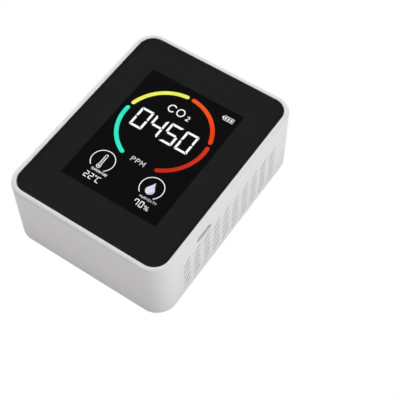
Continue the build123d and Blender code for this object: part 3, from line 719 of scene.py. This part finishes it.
def make_main_reading(light):
    """Four large figures with the unit above and below them."""
    first_x, pitch, low_y, width, height, thick, gap = -13.7, 7.03, 2.65, 5.75, 9.65, 0.96, 0.2
    digits = Plate("main_digits", DISPLAY_SHIFT)
    for index, sign in enumerate("0450"):
        add_figure(digits, sign, first_x + index * pitch, low_y, width, height, thick, gap)
    digits.build(light)

    label = Plate("gas_label", DISPLAY_SHIFT)
    centre_y, radius, aspect, stroke = 18.0, 1.68, 0.91, 0.47
    label.stroke(arc((-3.7, centre_y), radius, 44, 316, aspect), stroke, round_ends=True)
    label.stroke(ring((0.35, centre_y), radius, aspect), stroke, closed=True)
    label.stroke(arc((4.2, 17.62), 0.5, 165, -25) + [(3.68, 16.15), (4.95, 16.15)], 0.34)
    label.build(light)

    unit = Plate("unit_label", DISPLAY_SHIFT)
    for letter, x, width in (("P", -3.0, 1.3), ("P", -0.85, 1.3), ("M", 1.25, 1.6)):
        add_letter(unit, letter, x, -10.95, width, 2.05, 0.21)
    unit.build(light)


def add_open_ring(plate, centre):
    """Thin ring, open at the bottom, round a small icon."""
    plate.stroke(arc(centre, ICON_RING_RADIUS, -50, 230), ICON_RING_WIDTH, round_ends=True)


def make_temperature(light, dim_light):
    """Thermometer icon with its word and reading."""
    icon = Plate("thermometer_icon", DISPLAY_SHIFT)
    x, top_y, bulb_y, bulb_radius, half_stem, outline_width = -11.25, -14.45, -19.7, 0.86, 0.5, 0.24
    add_open_ring(icon, (x, -17.0))
    lean = math.degrees(math.asin(half_stem / bulb_radius))
    outline = arc((x, top_y), half_stem, 0, 180) + arc((x, bulb_y), bulb_radius, 90 + lean, 450 - lean)
    icon.stroke(outline, outline_width, closed=True)
    icon.polygon(ring((x, bulb_y), 0.38))
    icon.build(light)

    liquid = Plate("thermometer_liquid", DISPLAY_SHIFT)
    liquid.stroke([(x, -15.3), (x, bulb_y + 0.5)], 2 * half_stem - outline_width - 0.1)
    liquid.build(dim_light)

    reading = Plate("temperature_reading", DISPLAY_SHIFT)
    add_word(reading, "TEMPERATURE", -13.1, -5.6, -22.3, 0.9, 0.13)
    for sign, sign_x in (("2", -13.75), ("2", -11.6), ("C", -8.35)):
        add_figure(reading, sign, sign_x, -26.45, SMALL_WIDTH, SMALL_HEIGHT, SMALL_THICK, SMALL_GAP)
    reading.stroke(ring((-9.15, -24.0), 0.26), 0.17, closed=True)
    reading.build(light)


def teardrop(centre, radius, tip_y):
    """Outline of a drop whose sides curve in towards the tip."""
    x, y = centre
    shoulder = 25.0
    start, end = math.radians(shoulder), math.radians(180 - shoulder)
    right = [x + radius * math.cos(start), y + radius * math.sin(start)]
    count = 6
    side = []
    for k in range(1, count):
        share = k / count
        width = (right[0] - x) * (1 - share) ** 1.35
        side.append((x + width, right[1] + (tip_y - right[1]) * share))
    left_side = [(2 * x - px, py) for px, py in reversed(side)]
    round_part = arc(centre, radius, math.degrees(end), 360 + math.degrees(start))
    return round_part + side + [(x, tip_y)] + left_side


def make_humidity(light, drop_light, dim_light):
    """Water drop icon with its word and reading."""
    x, round_y, radius, tip_y = 11.25, -18.0, 1.85, -13.95
    icon = Plate("humidity_ring", DISPLAY_SHIFT)
    add_open_ring(icon, (x, -16.75))
    icon.build(light)

    drop = Plate("humidity_drop", DISPLAY_SHIFT)
    drop.polygon(teardrop((x, round_y), radius, tip_y))
    drop.build(drop_light)

    glint = Plate("humidity_drop_shade", DISPLAY_SHIFT, level=1)
    glint.stroke(arc((x, round_y), radius - 0.55, -80, -5), 0.26, round_ends=True)
    glint.build(dim_light)

    reading = Plate("humidity_reading", DISPLAY_SHIFT)
    add_word(reading, "HUMIDITY", 9.4, 17.0, -22.2, 0.9, 0.13)
    for sign, sign_x in (("7", 9.1), ("0", 11.35)):
        add_figure(reading, sign, sign_x, -26.15, SMALL_WIDTH, SMALL_HEIGHT, SMALL_THICK, SMALL_GAP)
    reading.stroke([(13.95, -26.0), (15.25, -24.3)], 0.2)
    for centre in ((14.0, -24.65), (15.15, -25.65)):
        reading.stroke(ring(centre, 0.36), 0.17, closed=True)
    reading.build(light)


def make_battery_icon(light):
    """Battery symbol with three bars and its terminal to the left."""
    icon = Plate("battery_icon", DISPLAY_SHIFT)
    low_x, high_x, low_y, high_y = 15.4, 19.6, 24.75, 26.7
    icon.stroke([(low_x, low_y), (high_x, low_y), (high_x, high_y), (low_x, high_y)], 0.22, closed=True)
    icon.polygon([(14.75, 25.3), (15.2, 25.3), (15.2, 26.15), (14.75, 26.15)])
    bar_width, bar_slant, bar_pitch = 0.55, 0.22, 1.22
    for index in range(3):
        x = 15.9 + index * bar_pitch
        icon.polygon([(x, low_y + 0.4), (x + bar_width, low_y + 0.4),
                      (x + bar_width + bar_slant, high_y - 0.4), (x + bar_slant, high_y - 0.4)])
    icon.build(light)


def make_display():
    """All lit shapes of the display."""
    light = glow("display_white_light", srgb(246, 248, 252), srgb(252, 253, 255), strength=1.2)
    dim_light = glow("display_grey_light", srgb(132, 132, 138), srgb(158, 158, 164))
    drop_light = glow("display_drop_light", srgb(220, 220, 240), srgb(230, 230, 248))
    make_gauge()
    make_main_reading(light)
    make_temperature(light, dim_light)
    make_humidity(light, drop_light, dim_light)
    make_battery_icon(light)


# ---- contacts of the charging port ------------------------------------------------------------------

CONTACTS_PER_ROW = 12
CONTACT_PITCH = 0.5 * MM
CONTACT_HALF_WIDTH = 0.13 * MM
CONTACT_HEIGHT = 0.03 * MM
CONTACT_SUNK = 0.01 * MM
TONGUE_HALF_THICKNESS = 0.35 * MM
CONTACT_FROM_TIP = 0.35 * MM
CONTACT_FROM_ROOT = 1.6 * MM
# The six faces of a bar whose eight corners run through x, then y, then z.
BAR_FACES = ((0, 1, 3, 2), (4, 6, 7, 5), (0, 4, 5, 1), (2, 3, 7, 6), (1, 5, 7, 3), (0, 2, 6, 4))


def make_port_contacts(material):
    """Two rows of gold strips, on the upper and lower faces of the port's tongue."""
    low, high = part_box("usb_tongue")
    middle_y, middle_z = (low.y + high.y) / 2, (low.z + high.z) / 2
    inner_x, outer_x = low.x + CONTACT_FROM_ROOT, high.x - CONTACT_FROM_TIP
    points, faces = [], []
    for side in (-1, 1):
        for index in range(CONTACTS_PER_ROW):
            y = middle_y + (index - (CONTACTS_PER_ROW - 1) / 2) * CONTACT_PITCH
            start = len(points)
            for x in (inner_x, outer_x):
                for dy in (-CONTACT_HALF_WIDTH, CONTACT_HALF_WIDTH):
                    for z in (TONGUE_HALF_THICKNESS - CONTACT_SUNK, TONGUE_HALF_THICKNESS + CONTACT_HEIGHT):
                        points.append((x, y + dy, middle_z + side * z))
            for face in BAR_FACES:
                turned = face if side > 0 else tuple(reversed(face))
                faces.append([start + i for i in turned])
    mesh = bpy.data.meshes.new("port_contacts")
    mesh.from_pydata(points, [], faces)
    mesh.validate()
    mesh.materials.append(material)
    piece = bpy.data.objects.new("port_contacts", mesh)
    bpy.context.scene.collection.objects.link(piece)
    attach(piece, "case")


# ---- the whole scene ------------------------------------------------------------------------------

make_camera()
make_world()
make_floor()
# Azimuth and elevation in degrees, distance and size in metres, power in watts.
make_softbox("key_light", 101, 47, 0.7, 0.3, 2.42)
make_softbox("overhead_light", 34, 84, 0.8, 0.4, 1.46, mirrored=False)
make_softbox("rear_light", 250, 32, 0.8, 0.4, 3.9, mirrored=False)
paint_cad_nodes()
make_display()
make_port_contacts(bpy.data.materials["pin_gold"])

bpy.context.scene.view_settings.view_transform = "Standard"
